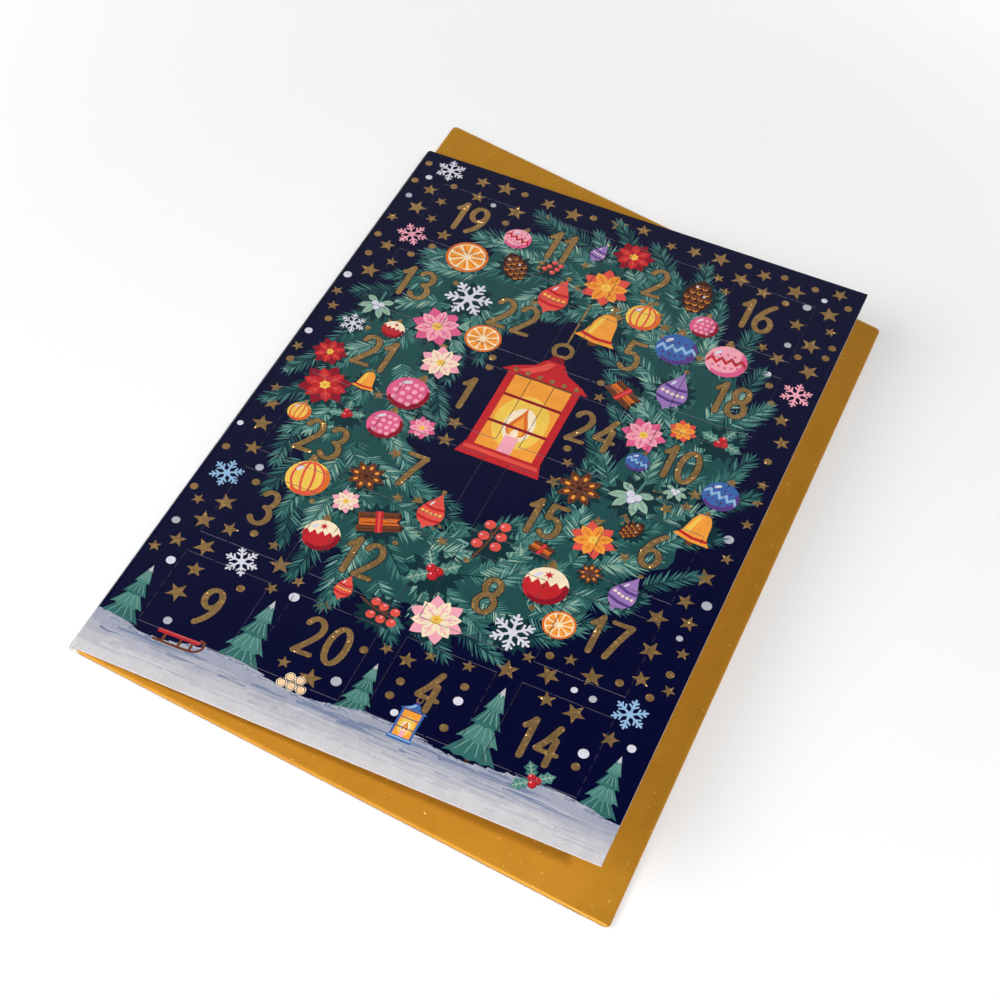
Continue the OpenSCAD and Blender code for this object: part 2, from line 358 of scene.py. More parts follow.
def mistletoe(at):
    paint("spruce", at(brush([(0, 0.9), (0.02, 0.1)], 0.1)))
    for a, l in ((-0.6, 1.0), (-2.54, 1.0), (-1.15, 1.05), (-1.99, 1.05), (0.35, 0.7), (2.8, 0.7)):
        blade = spot_on((0, 0.15), 1, a)
        paint("sage", at(blade(leaf(l, 0.34, 0.62, 5))))
        paint("frost", at(blade(brush([(0.15, 0), (0.8 * l, 0)], 0.05))))
    for x, y in ((-0.16, 0.06), (0.16, 0.04), (0, -0.18)):
        dab(at, "shadow", x + 0.02, y - 0.03, 0.18, 10)
        dab(at, "white", x, y, 0.16, 10)


def cinnamon(at):
    for ink, y, e in (("bark", -0.34, 0.95), ("bark", 0.34, 0.89), ("orange", 0, 0.83)):
        paint(ink, at([(-e, y - 0.17), (e, y - 0.17), (e + 0.05, y), (e, y + 0.17), (-e, y + 0.17)]))
        paint("cocoa", at(brush([(-0.9 * e, y - 0.05), (0.9 * e, y - 0.05)], 0.04)))
        paint("cocoa", at(oval(e - 0.02, y, 0.07, 0.13, 8)))
    for ink, w in (("red", 0.16), ("coral", 0.05)):
        paint(ink, at(slab(-w, -0.56, w, 0.56)))


def bell(at):
    dab(at, "bark", 0, -0.86, 0.2, 10)
    side = [(0, 1), (0.26, 0.92), (0.46, 0.55), (0.56, 0), (0.66, -0.4), (0.92, -0.74)]
    paint("amber", at(mirrored(flowing(side, 4) + [(0, -0.84)])))
    gleam = [(-0.3, 0.76), (-0.12, 0.8), (-0.22, 0.1), (-0.3, -0.4), (-0.58, -0.42), (-0.44, 0.1)]
    paint("yellow", at(gleam))
    paint("red", at([(-0.68, -0.4), (0, -0.5), (0.68, -0.4), (0.74, -0.56), (0, -0.67), (-0.74, -0.56)]))
    dab(at, "foil", 0, 1.1, 0.14, 8)


def anise(at):
    for k in range(8):
        pod = spot_on((0, 0), 1, k * math.pi / 4)
        paint("bark", at(pod(leaf(1, 0.42, 0.55, 5))))
        paint("cocoa", at(pod(brush([(0.24, 0), (0.86, 0)], 0.06))))
        paint("amber", at(pod(oval(0.56, 0, 0.13, 0.08, 8))))
    dab(at, "cocoa", 0, 0, 0.14, 8)


def berries(at):
    paint("bark", at(brush([(-0.95, -0.5), (-0.2, -0.1), (0.6, 0.5)], 0.08)))
    for x, y in ((-0.5, 0.1), (-0.1, 0.35), (0.35, 0.75), (0.1, -0.35), (0.5, 0), (0.85, 0.4)):
        paint("bark", at(brush([(0.55 * x, 0.3 * y), (x, y)], 0.05)))
        dab(at, "coral", x, y, 0.23, 12)
        dab(at, "blush", x - 0.07, y + 0.08, 0.06, 6)


def lantern(at, frame_ink, dark, light):
    dab(at, "foil", 0, 1.62, 0.2, 14)
    dab(at, "navy", 0, 1.62, 0.12, 10)
    paint(dark, at([(-0.14, 1.3), (0.14, 1.3), (0.1, 1.46), (-0.1, 1.46)]))
    paint(frame_ink, at(mirrored([(0.16, 1.32), (0.3, 1.12), (0.62, 0.96), (0.78, 0.82)])))
    paint(light, at([(-0.52, 0.9), (-0.2, 1.14), (-0.1, 1.28), (0.02, 1.28), (-0.06, 1.1), (-0.3, 0.9)]))
    paint("bark", at(slab(-0.6, -0.95, 0.6, 0.82)))
    paint("amber", at(slab(-0.52, -0.92, 0.52, 0.78)))
    paint("yellow", at(oval(0, -0.2, 0.45, 0.62, 24)))
    paint("cream", at(oval(0, -0.26, 0.26, 0.4, 20)))
    for ink, tall, wide in (("orange", 0.7, 0.18), ("amber", 0.52, 0.13), ("cream", 0.26, 0.07)):
        flame = [(0, tall), (0.22 * wide, 0.78 * tall), (0.72 * wide, 0.48 * tall), (wide, 0.24 * tall),
                 (0.68 * wide, 0.05 * tall), (0, 0)]
        paint(ink, at([(x, y - 0.53) for x, y in mirrored(flowing(flame, 6))]))
    paint("blush", at(slab(-0.12, -0.92, 0.12, -0.54)))
    for x in (-0.58, 0.58):
        paint(frame_ink, at(slab(x - 0.07, -0.95, x + 0.07, 0.82)))
    for y in (-0.34, 0.3):
        paint(dark, at(slab(-0.52, y - 0.03, 0.52, y + 0.03)))
    paint(frame_ink, at([(-0.74, -1.2), (0.74, -1.2), (0.66, -0.92), (-0.66, -0.92)]))
    paint(light, at([(-0.66, -1.06), (0.66, -1.06), (0.64, -0.98), (-0.64, -0.98)]))
    for k in range(6):
        dab(at, "foil", -0.55 + 0.22 * k, 0.89, 0.05, 6)


def sapling(at):
    paint("cocoa", at([(-0.03, -0.03), (0.03, -0.03), (0.025, 0.2), (-0.025, 0.2)]))
    for k in range(4):
        low, top, w = 0.1 + 0.2 * k, 0.48 + 0.175 * k, 0.28 * (1 - 0.21 * k)
        skirt = []
        for j in range(9):
            sag = 0.02 * math.cos(math.pi * (j - 4) / 8)
            skirt.append((w * (j / 4 - 1), low + 0.025 * (j % 2) - sag))
        paint(("fir", "spruce")[k % 2], at([*skirt, (0, top)]))
        for x in (-0.75, -0.25, 0.25, 0.75):
            rib = [(0.35 * w * x, low + 0.55 * (top - low)), (0.82 * w * x, low + 0.045)]
            paint("frost", at(brush(rib, 0.01)))
        cut = [(-0.36, 0.36), (0, 0), (0.36, 0.36), (0.16, 0.3), (0, 0.42), (-0.16, 0.28)]
        paint("snow", at([(w * x, top - (top - low) * y) for x, y in cut]))


def sled(at):
    runner = [(-1, -0.42), (0.6, -0.42), (1.02, -0.2), (1.05, 0.12), (0.86, 0.2)]
    paint("bark", at(brush(flowing(runner), 0.12)))
    for x in (-0.62, 0.1, 0.6):
        paint("bark", at(slab(x - 0.06, -0.42, x + 0.06, 0)))
    paint("red", at([(-1, -0.04), (0.86, -0.04), (0.9, 0.14), (-1, 0.14)]))
    paint("coral", at(slab(-1, 0.08, 0.88, 0.14)))


def logs(at):
    for x, y in ((-0.62, 0), (0, 0), (0.62, 0), (-0.31, 0.54), (0.31, 0.54)):
        for ink, r in (("cream", 0.32), ("bark", 0.27), ("cream", 0.22), ("amber", 0.13), ("cream", 0.08)):
            dab(at, ink, x, y, r, 12)


def sprig(place, length, turn, bend, inks, needle=3.9, step=0.72):
    """A fir sprig: a bowed stem with a row of needles down each side."""
    n = max(6, int(length / step))
    stem = [(place[0], place[1], turn)]
    for k in range(n):
        u, v, a = stem[-1]
        a += bend / n
        stem.append((u + length / n * math.cos(a), v + length / n * math.sin(a), a))
    for k, (u, v, a) in enumerate(stem):
        l = needle * (0.62 + 0.5 * math.sin(math.pi * (0.15 + 0.75 * k / n))) * rng.uniform(0.8, 1.15)
        half = rng.uniform(0.14, 0.27)
        for side in (-1, 1):
            lean = side * (0.95 - 0.5 * k / n + rng.uniform(-0.12, 0.12))
            blade = [(0, -0.7 * half), (0.55 * l, -half), (l, 0), (0.55 * l, half), (0, 0.7 * half)]
            paint(inks[int(rng.random() ** 1.6 * 3)], spot_on((u, v), 1, a + lean)(blade))
    tip = [(0, -0.22), (2, -0.25), (3.3, 0), (2, 0.25), (0, 0.22)]
    paint(inks[1], spot_on(stem[-1][:2], 1, stem[-1][2])(tip))
    paint(inks[3], brush([s[:2] for s in stem[::3]] + [stem[-1][:2]], 0.36))


def hoop(x, y, rx, ry, start):
    """A ring as two strokes, each round half of it from the same start."""
    return [arc(x, y, rx, ry, start, start + turn) for turn in (180, -180)]


# The numerals, each as its width and its strokes in a box one unit high.
NUMERALS = {
    0: (0.56, hoop(0.28, 0.5, 0.26, 0.48, 90)),
    1: (0.26, [flowing([(0, 0.76), (0.12, 0.86), (0.2, 0.98)]), [(0.2, 0.98), (0.2, 0.5), (0.2, 0.02)]]),
    2: (0.54, [arc(0.26, 0.72, 0.24, 0.26, 160, -20)
               + flowing([(0.46, 0.56), (0.3, 0.34), (0.04, 0.03)])[1:],
               [(0.04, 0.03), (0.28, 0.03), (0.52, 0.04)]]),
    3: (0.52, [arc(0.24, 0.75, 0.22, 0.23, 150, -90), arc(0.24, 0.27, 0.26, 0.25, 90, -150)]),
    4: (0.58, [flowing([(0.4, 0.98), (0.22, 0.62), (0.02, 0.34)]),
               [(0.02, 0.32), (0.3, 0.32), (0.58, 0.32)],
               [(0.42, 0.66), (0.42, 0.34), (0.42, 0.02)]]),
    5: (0.52, [[(0.1, 0.96), (0.3, 0.96), (0.5, 0.97)],
               [(0.1, 0.96), (0.08, 0.76), (0.07, 0.58)],
               [(0.07, 0.57)] + arc(0.24, 0.31, 0.26, 0.29, 120, -140)]),
    6: (0.52, [flowing([(0.42, 0.98), (0.2, 0.76), (0.04, 0.44), (0.03, 0.3)])]
        + hoop(0.27, 0.27, 0.24, 0.25, 180)),
    7: (0.54, [[(0.02, 0.96), (0.28, 0.96), (0.54, 0.97)],
               flowing([(0.54, 0.96), (0.36, 0.56), (0.18, 0.02)])]),
    8: (0.54, hoop(0.27, 0.75, 0.21, 0.22, 90) + hoop(0.27, 0.27, 0.25, 0.25, 90)),
    9: (0.52, hoop(0.25, 0.72, 0.23, 0.25, 0)
        + [flowing([(0.48, 0.72), (0.47, 0.5), (0.34, 0.22), (0.14, 0.02)])]),
}
NUMERAL_TALL, NUMERAL_WIDTH, NUMERAL_GAP = 9.8, 0.8, 0.19


def numeral(number, place):
    """A door's number in foil on a thin navy edge, which is painted shade round the foil."""
    digits = [int(d) for d in str(number)]
    x = -(sum(NUMERALS[d][0] for d in digits) * NUMERAL_WIDTH + NUMERAL_GAP * (len(digits) - 1)) / 2
    at = spot_on(place, NUMERAL_TALL)
    for d in digits:
        wide, strokes = NUMERALS[d]
        # The wider navy stroke under each foil stroke paints the shade along the foil's edge.
        for ink, broad in (("navy", 0.19), ("foil", 0.15)):
            for line in strokes:
                upright = [(x + px * NUMERAL_WIDTH, py - 0.5) for px, py in line]
                paint(ink, at(brush(upright, broad, 0.78)))
        x += wide * NUMERAL_WIDTH + NUMERAL_GAP


rng = random.Random(24)
WREATH, MID, HALF = (60.0, 99.5), (35.5, 49.5), 14.0
LANTERN = (60.0, 101.0)


def on_wreath(t, k):
    """A point t round the wreath, and k across it, from -1 at its inner side to 1 at its outer side."""
    return WREATH[0] + (MID[0] + HALF * k) * math.cos(t), WREATH[1] + (MID[1] + HALF * k) * math.sin(t)


def across_wreath(u, v):
    """How far across the wreath a point lies, as k in on_wreath."""
    t = math.atan2((v - WREATH[1]) / MID[1], (u - WREATH[0]) / MID[0])
    reach = math.hypot(MID[0] * math.cos(t), MID[1] * math.sin(t))
    return (math.hypot(u - WREATH[0], v - WREATH[1]) - reach) / HALF


door_middles = {}
for row, numbers in enumerate(DOOR_ORDER):
    for column, number in enumerate(numbers):
        u = SPINE_MARGIN + PITCH * column + DOOR / 2
        door_middles[number] = (u, FOOT_MARGIN + PITCH * (len(DOOR_ORDER) - 1 - row) + DOOR / 2)
numeral_places = {number: (u + rng.uniform(-2.0, 2.0), v + rng.uniform(-2.0, 2.0))
                  for number, (u, v) in door_middles.items()}
for number, aside in ((22, -2.5), (1, -3), (7, -2.5), (5, 2.5), (24, 4), (15, 3), (4, 1.5)):
    numeral_places[number] = (numeral_places[number][0] + aside, numeral_places[number][1])


def by_numeral(u, v, room):
    """Whether a point is nearer to a numeral than the room it needs."""
    return any(abs(u - p[0]) < room + (6.4 if number > 9 else 3.8) and abs(v - p[1]) < room + 5.6
               for number, p in numeral_places.items())


SAPLINGS = ((5.5, 17), (33.4, 20), (60.2, 15), (86.6, 21), (114.5, 16))
SKY_KINDS = (("crystal", 3.9, 6), ("star", 2.6, 26), ("star", 2.1, 30), ("star", 1.6, 34),
             ("snow", 1.05, 26), ("speck", 0.95, 44))
sky = []
for kind, r, wanted in SKY_KINDS:
    for _ in range(wanted):
        for _ in range(300):
            u, v = rng.uniform(r + 1, SHEET_W - 1 - r), rng.uniform(14, SHEET_H - 3)
            k = across_wreath(u, v)
            clear = abs(k) > (1.6 if kind == "crystal" else 1.36) + r / HALF
            by_lantern = abs(u - LANTERN[0]) < 11 + r and abs(v - LANTERN[1]) < 31
            by_sapling = any(abs(u - s) < 0.3 * tall + r and v < 9 + tall + r for s, tall in SAPLINGS)
            crowded = any(math.hypot(u - s[0], v - s[1]) < r + s[2] + 1.2 for s in sky)
            if not clear or by_lantern or by_sapling or crowded or by_numeral(u, v, r + 0.5):
                continue
            sky.append((u, v, r))
            if kind == "crystal":
                crystal(spot_on((u, v), r, rng.uniform(0, 1)), ("white", "sky", "blush")[len(sky) % 3])
            elif kind == "star":
                paint("foil", spot_on((u, v), r, rng.uniform(-0.5, 0.5))(rays(5, 1, 0.42)))
            elif kind == "snow":
                flake = r * (0.72 + 0.1 * (len(sky) % 5))
                paint(("white", "haze")[len(sky) % 2], dot(u, v, flake, 14))
            else:
                paint("foil", dot(u, v, r, 14))
            break

for u, tall in SAPLINGS:
    sapling(spot_on((u, 8.6), tall))
bank = flowing([(0, 11.2), (14, 9.2), (30, 11.6), (48, 9.4), (66, 11.8), (84, 9.6), (102, 11.4),
                (SHEET_W, 9.4)], 8)
paint("dusk", [(0, 0), *bank, (SHEET_W, 0)][::-1])
for ink, top in (("haze", 7.6), ("snow", 5.2), ("drift", 2.4)):
    paint(ink, [(0, 0), *[(u, v * top / 10.4) for u, v in bank], (SHEET_W, 0)][::-1])
SNOW_TONES = ("drift", "drift", "snow", "haze", "dusk", "shadow")
for k in range(260):
    u, v, l = rng.uniform(0.5, SHEET_W - 10), rng.uniform(0.3, 9.0), rng.uniform(5, 16)
    tone = SNOW_TONES[min(5, max(0, int(v / 9.4 * 6 + rng.uniform(-1.1, 1.1))))]
    line = [(min(u + l * t, SHEET_W - 0.2), v + rng.uniform(-0.2, 0.2)) for t in (0, 0.33, 0.66, 1)]
    paint(tone, brush(flowing(line, 3), rng.uniform(0.35, 0.95), 1, 0.15))
brushwork = random.Random(7)
for k, (u, v) in enumerate(flowing(bank, 4)):
    u, v, l = u + brushwork.uniform(-1, 1), v + brushwork.uniform(-0.5, 0.15), brushwork.uniform(1.6, 4.2)
    line = [(u, v), (u + l / 2, v + brushwork.uniform(-0.2, 0.1)), (u + l, v - brushwork.uniform(0, 0.6))]
    paint(("dusk", "haze", "shadow")[k % 3], brush(flowing(line, 3), brushwork.uniform(0.25, 0.6), 1, 0.2))
sled(spot_on((20, 11.4), 5.2, 0.03))
logs(spot_on((46.5, 10.8), 3.6))
lantern(spot_on((72.0, 13.0), 3.8), "blue", "violet", "sky")
holly(spot_on((100.5, 11.6), 4.6, 0.2))

around = np.linspace(0, math.tau, 150, endpoint=False)
rim = [on_wreath(t, 0.86 + 0.12 * math.sin(13 * t) + 0.08 * math.sin(29 * t + 1)) for t in around]
eye = [on_wreath(t, -0.8 + 0.1 * math.sin(11 * t + 2) + 0.07 * math.sin(23 * t)) for t in around]
paint("pine", rim + [rim[0], eye[0]] + eye[::-1])
SPRIG_LAYERS = (
    (("pine", "fir", "spruce", "deep"), (0.9, -0.82, 0.0), 26, 11.0),
    (("fir", "spruce", "frost", "pine"), (0.62, -0.52, 0.1), 23, 11.0),
    (("spruce", "frost", "sage", "fir"), (0.34, -0.25), 18, 10.0),
)
for inks, bands, count, length in SPRIG_LAYERS:
    for band in bands:
        n = int(count * (1 + 0.22 * band))
        for k in range(n):
            t = math.tau * (k + rng.uniform(-0.25, 0.25)) / n + band
            way = math.atan2(MID[1] * math.cos(t), -MID[0] * math.sin(t))
            way -= 0.62 if band > 0.2 else -0.6 if band < -0.2 else rng.uniform(-0.5, 0.5)
            root = on_wreath(t, band + rng.uniform(-0.12, 0.12))
            sprig(root, length * rng.uniform(0.8, 1.1), way + rng.uniform(-0.2, 0.2),
                  rng.uniform(-0.3, 0.3), inks)
for k in range(80):
    u, v = on_wreath(rng.uniform(0, math.tau), rng.uniform(-0.9, 0.9))
    if not by_numeral(u, v, 1):
        star = spot_on((u, v), rng.uniform(1.4, 2.1), rng.uniform(0, 1))(rays(5, 1, 0.42))
        paint("foil", star if k % 3 else dot(u, v, 0.7, 10))

paint("foil", brush([(LANTERN[0], LANTERN[1] + 40), (LANTERN[0], LANTERN[1] + 23.5)], 0.5))
lantern(spot_on(LANTERN, 14.0), "red", "wine", "coral")

TRIMMINGS = (
    (flower, 1.0, ("wine", "red", "coral")),
    (bauble, 0.82, ("pink", "wine", "blush", "dots")),
    (orange_slice, 0.86, ()),
    (holly, 1.0, ()),
    (bell, 0.92, ()),
    (drop, 0.82, ("lilac", "violet", "cream")),
    (cone, 0.9, ()),
    (flower, 1.0, ("pink", "blush", "pink")),
    (bauble, 0.82, ("blue", "violet", "sky", "zigzag")),
    (mistletoe, 1.0, ()),
    (bauble, 0.82, ("red", "wine", "cream", "cap")),
    (cinnamon, 0.86, ()),
    (drop, 0.82, ("coral", "red", "yellow")),
    (flower, 1.0, ("coral", "amber", "orange")),
    (berries, 0.9, ()),
    (bauble, 0.82, ("yellow", "orange", "coral", "ribs")),
    (anise, 0.86, ()),
    (crystal, 0.95, ("white",)),
    (flower, 1.0, ("blush", "cream", "blush")),
    (bauble, 0.82, ("blush", "pink", "red", "zigzag")),
)
UPRIGHT = (bauble, bell, drop, mistletoe)
hung = []
for r, wanted in ((6.2, 20), (5.2, 24), (4.3, 28), (3.4, 40)):
    found = 0
    for _ in range(5000):
        u, v = on_wreath(rng.uniform(0, math.tau), rng.uniform(-1.05, 1.05))
        crowded = any(math.hypot(u - h[0], v - h[1]) < r + h[2] - 0.3 for h in hung)
        by_lantern = abs(u - LANTERN[0]) < 9.5 + r and 80 < v < 124
        if by_numeral(u, v, r - 1.2) or crowded or found == wanted or by_lantern:
            continue
        trimming, share, inks = TRIMMINGS[len(hung) % len(TRIMMINGS)]
        turn = rng.uniform(-1, 1) * (0.25 if trimming in UPRIGHT else 1)
        paint("deep", spot_on((u + 0.2, v - 0.4), r * share, rng.uniform(0, 1))(rays(13, 1.14, 0.78)))
        trimming(spot_on((u, v), r * share, turn), *inks)
        hung.append((u, v, r))
        found += 1
for number, place in numeral_places.items():
    numeral(number, place)


# Printed cover and doors
# The front leaf, one sheet of the same board printed in one pass and then cut by a steel die: each
# door is free on three sides but for small nibs and hangs on a perforated crease.
# Its white cut edges are coloured grey: painted shade for the narrow cuts.
hinge = next(j for j in frame["joints"] if j["name"] == "cover_hinge")
pivot = np.array(hinge["pos_m"])
FOLD_R = pivot[2]
raised = math.radians(-hinge["range_deg"][0])
along = np.array([math.cos(raised), 0, math.sin(raised)])
outward = np.array([-math.sin(raised), 0, math.cos(raised)])
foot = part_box("cover_sheet")[0].y
JOIN = 0.003


def on_sheet(node):
    """A cover node's vertices as sheet millimetres (u, v) and height off the hinge line."""
    co = np.array([v.co for v in frame["nodes"][node].data.vertices])
    rel = co - pivot
    return np.stack([(rel @ along + FOLD_R) * 1e3, (co[:, 1] - foot) * 1e3, rel @ outward * 1e3], 1)


def lifted(points, height):
    """Sheet millimetres back to metres in the frame, at a height off the hinge line."""
    p = np.asarray(points, float) * 1e-3
    flat = pivot + np.outer(p[:, 0] - FOLD_R, along) + outward * height * 1e-3
    flat[:, 1] = foot + p[:, 1]
    return flat


def outlines(node, spots, level, slack):
    """The loops round the flat side of a node that lies at a level, with the board on the left of each."""
    step = {}
    for face in frame["nodes"][node].data.polygons:
        corners = [tuple(spots[i]) for i in face.vertices]
        if all(abs(c[2] - level) < slack for c in corners):
            for a, b in zip(corners, corners[1:] + corners[:1]):
                step[(a[:2], b[:2])] = True
    after = {a: b for a, b in step if (b, a) not in step}
    loops = []
    while after:
        loop = [next(iter(after))]
        while loop[-1] in after:
            loop.append(after.pop(loop[-1]))
        loops.append(loop[:-1])
    return loops


def cut_lines(node):
    """The outline loops of a node's printed side."""
    spots = np.round(on_sheet(node), 4)
    return outlines(node, spots, spots[:, 2].max(), 1e-3)


def inside(border, spots):
    """Which spots lie within a closed border, given as its edges, with holes left out."""
    within = np.zeros(len(spots), bool)
    x, y = spots[:, 0], spots[:, 1]
    for (x0, y0), (x1, y1) in border:
        if y0 != y1:
            within ^= ((y0 > y) != (y1 > y)) & (x < (x1 - x0) * (y - y0) / (y1 - y0) + x0)
    return within


def mark_topmost(spots, shapes, marks):
    """For each spot, what marks the last of the shapes that covers it."""
    order = np.argsort(spots[:, 0])
    x, y = spots[order, 0], spots[order, 1]
    for k, (value, loops) in enumerate(shapes):
        p = np.array([q for loop in loops for q in loop])
        first, last = np.searchsorted(x, [p[:, 0].min(), p[:, 0].max()])
        near = first + np.nonzero((y[first:last] >= p[:, 1].min()) & (y[first:last] <= p[:, 1].max()))[0]
        if len(near):
            border = [edge for loop in loops for edge in zip(loop, loop[1:] + loop[:1])]
            marks[order[near[inside(border, np.stack([x[near], y[near]], 1))]]] = value
    return marks


def divided(points, edges, keep, join):
    """Delaunay's triangles on the points, with the edges kept as sides of triangles."""
    corners = [Vector(p) for p in points]
    return delaunay_2d_cdt(corners, [tuple(map(int, e)) for e in edges], [], keep, join, keep > 0)


def edges_of(faces):
    """Each edge once, with the two faces beside it, or one face and -1."""
    e = np.concatenate([faces[:, [0, 1]], faces[:, [1, 2]], faces[:, [2, 0]]])
    f = np.tile(np.arange(len(faces)), 3)
    key = np.sort(e, 1)
    order = np.lexsort((key[:, 1], key[:, 0]))
    e, f, key = e[order], f[order], key[order]
    twin = np.append((key[1:] == key[:-1]).all(1), False)
    first = np.nonzero(~np.append(False, twin[:-1]))[0]
    other = np.where(twin[first], f[np.minimum(first + 1, len(f) - 1)], -1)
    return e[first], f[first], other


def cut_sheet(inked, pieces):
    """Cuts a printed sheet along its inks and its pieces' outlines into one flat mesh.
    Returns its points, its triangles, the ink of each and the piece of each, with -1 in a kerf."""
    shapes = [(k, [outline]) for k, outline in inked]
    rings = [loop for _, loops in pieces for loop in loops]
    points, edges = [], []
    for loop in [outline for _, outline in inked] + rings:
        n = len(points)
        points += loop
        edges += [(n + k, n + (k + 1) % len(loop)) for k in range(len(loop))]
    for rounds in (0, 1):
        made = divided(points, edges, 0, JOIN)
        spots, faces = np.array([tuple(v) for v in made[0]]), np.array(made[2])
        middle = spots[faces].mean(1)
        inks = mark_topmost(middle, shapes, np.zeros(len(faces), int))
        piece = mark_topmost(middle, pieces, np.full(len(faces), -1))
        if rounds == 0:
            e, one, other = edges_of(faces)
            look = np.append(inks * (len(pieces) + 1) + piece + 1, -1)
            look[:-1][piece < 0] = -2
            shown = e[look[one] != look[other]]
            used, edges = np.unique(shown, return_inverse=True)
            points, edges = spots[used], edges.reshape(-1, 2)
    return spots, faces, inks, piece


def put(name, data):
    """Puts a mesh, a lamp or a camera into the scene."""
    made = bpy.data.objects.new(name, data)
    bpy.context.scene.collection.objects.link(made)
    return made


def shaped(name, points, faces, materials, kinds, rolled):
    """A mesh, with the material of its kind on each face, and shaded smooth where it is rolled."""
    mesh = bpy.data.meshes.new(name)
    mesh.from_pydata(points, [], faces)
    for material in materials:
        mesh.materials.append(material)
    mesh.polygons.foreach_set("material_index", kinds)
    mesh.polygons.foreach_set("use_smooth", rolled)
    return mesh


INK_NAMES = list(INKS)
INK_TONES = np.array([shade(*colour) for colour in INKS.values()])
BAKE_EDGE, BAKE_SIDE, BAKE_SIDE_SHARE = 0.004, 0.71, 0.28


def plate(name, spots, faces, inks, top, bottom, materials, share):
    """A closed plate from its inked face: the face on top, walls down the cut edges, a plain underside."""
    used, faces = np.unique(faces, return_inverse=True)
    spots, faces = spots[used], faces.reshape(-1, 3)
    e, _, other = edges_of(faces)
    rim, border = np.unique(e[other < 0], return_inverse=True)
    border = border.reshape(-1, 2)
    under = divided(spots[rim], border, 2, 1e-6)
    back = np.array([under[3][i][0] for face in under[2] for i in face]).reshape(-1, 3)
    ends = spots[rim[border]]
    back = back[inside(ends, spots[rim][back].mean(1))]
    n = len(spots)
    walls = np.stack([rim[border[:, 1]], rim[border[:, 0]], n + border[:, 0], n + border[:, 1]], 1)
    every = [*faces.tolist(), *walls.tolist(), *(n + back[:, ::-1]).tolist()]
    points = np.concatenate([lifted(spots, top), lifted(spots[rim], bottom)]).tolist()
    # Kinds of face: 0 print, 1 trimmed edge, 2 underside, 3 cut edge (grey, as painted shade).
    kinds = np.repeat([0, 1, 2], [len(faces), len(walls), len(back)])
    trimmed = (np.minimum(ends, SHEET_H - ends)[:, :, 1] < 1e-3).all(1)
    kinds[len(faces):len(faces) + len(walls)] = np.where(trimmed, 1, 3)
    mesh = shaped(name, points, every, materials, kinds.astype(np.int32), [False] * len(every))
    face_inks = np.concatenate([inks, np.zeros(len(walls) + len(back), int)])
    ink = mesh.attributes.new("ink", "FLOAT_COLOR", "FACE")
    ink.data.foreach_set("color", INK_TONES[face_inks].astype(np.float32).ravel())
    foil = mesh.attributes.new("foil", "FLOAT", "FACE")
    foil.data.foreach_set("value", (face_inks == INK_NAMES.index("foil")).astype(np.float32))
    low, size = spots.min(0), np.ptp(spots, axis=0).max()
    flat = (np.concatenate([spots, spots[rim]]) - low) / size
    corner = np.array([i for face in every for i in face])
    kind = np.repeat(kinds, np.where(kinds % 2 == 1, 4, 3))[:, None]
    beside = np.where(kind % 2 == 1, (BAKE_SIDE, 0.7), (BAKE_SIDE, BAKE_EDGE))
    uv = flat[corner] * np.where(kind == 0, share, BAKE_SIDE_SHARE)
    uv += np.where(kind == 0, BAKE_EDGE, beside)
    mesh.uv_layers.new(name="OFBake").uv.foreach_set("vector", uv.astype(np.float32).ravel())
    mesh.validate()
    return put(name, mesh)


flakes, given, out = effect(
    "metal_flakes",
    [("Scale", FLOAT, 4000), ("Tilt", FLOAT, 0.3), ("Share", FLOAT, 0.5), ("Ripple", FLOAT, 0.0)],
    [("Normal", VECTOR), ("Glint", FLOAT)])
size, tilt, share, ripple = given.outputs[:4]
HALVES = (0.5, 0.5, 0.5)
spot = wire(flakes, "TexCoord").outputs["Object"]
cell = wire(flakes, "TexVoronoi", {"Vector": spot, "Scale": size}).outputs["Color"]
lot = wire(flakes, "SeparateColor", {"Color": cell})
picked = calc(flakes, "LESS_THAN", lot.outputs[2], share)
centred = calc(flakes, "SUBTRACT", cell, HALVES, kind="VectorMath")
lean = calc(flakes, "MULTIPLY", centred, calc(flakes, "MULTIPLY", picked, tilt), kind="VectorMath")
upright = wire(flakes, "NewGeometry").outputs["Normal"]
tilted = calc(flakes, "ADD", upright, lean, kind="VectorMath")
waves = wire(flakes, "TexNoise", {"Vector": spot}, Scale=1100, Detail=2, Roughness=0.5)
level = calc(flakes, "SUBTRACT", waves.outputs["Color"], HALVES, kind="VectorMath")
roll = calc(flakes, "MULTIPLY", level, ripple, kind="VectorMath")
tilted = calc(flakes, "ADD", tilted, roll, kind="VectorMath")
feed(flakes, out, {"Normal": calc(flakes, "NORMALIZE", tilted, kind="VectorMath"),
                   "Glint": calc(flakes, "MULTIPLY", picked, lot.outputs[0])})

# Painted shade: cut edges are grey, not the white core, and darker on the frame and picture sheet than on
# the doors.
door_edge_painted_shade = paper("door_edge_painted_shade", (131, 127, 142), 0.1, 0.5, 0.2)
cut_edge_painted_shade = paper("cut_edge_painted_shade", (114, 110, 124), 0.1, 0.5, 0.2)
printed, tree, shader = finish("printed_face")
ink = wire(tree, "Attribute", attribute_name="ink").outputs["Color"]
foil = wire(tree, "Attribute", attribute_name="foil").outputs["Fac"]
tooth = wire(tree, "Group", {"Colour": ink}, node_tree=fibre, Mottle=0.34, Smooth=0.14, Dull=0.22)
gloss = wire(tree, "MapRange", {"Value": foil, "To Min": tooth.outputs["Rough"]}, To_Max=0.4)
grain = wire(tree, "Group", node_tree=flakes, Scale=2600, Tilt=1.6, Share=0.12, Ripple=0.42)
raised_ink = wire(tree, "Bump", {"Height": tooth.outputs["Height"]}, Strength=0.12, Distance=2e-5)
facing = wire(tree, "Mix", {"Factor": foil, 4: raised_ink.outputs[0], 5: grain.outputs["Normal"]},
              data_type="VECTOR")
feed(tree, shader, {"Base Color": tooth.outputs["Colour"], "Metallic": foil, "Roughness": gloss.outputs[0],
                    "Normal": facing.outputs[1]}, Specular_IOR_Level=0.3)

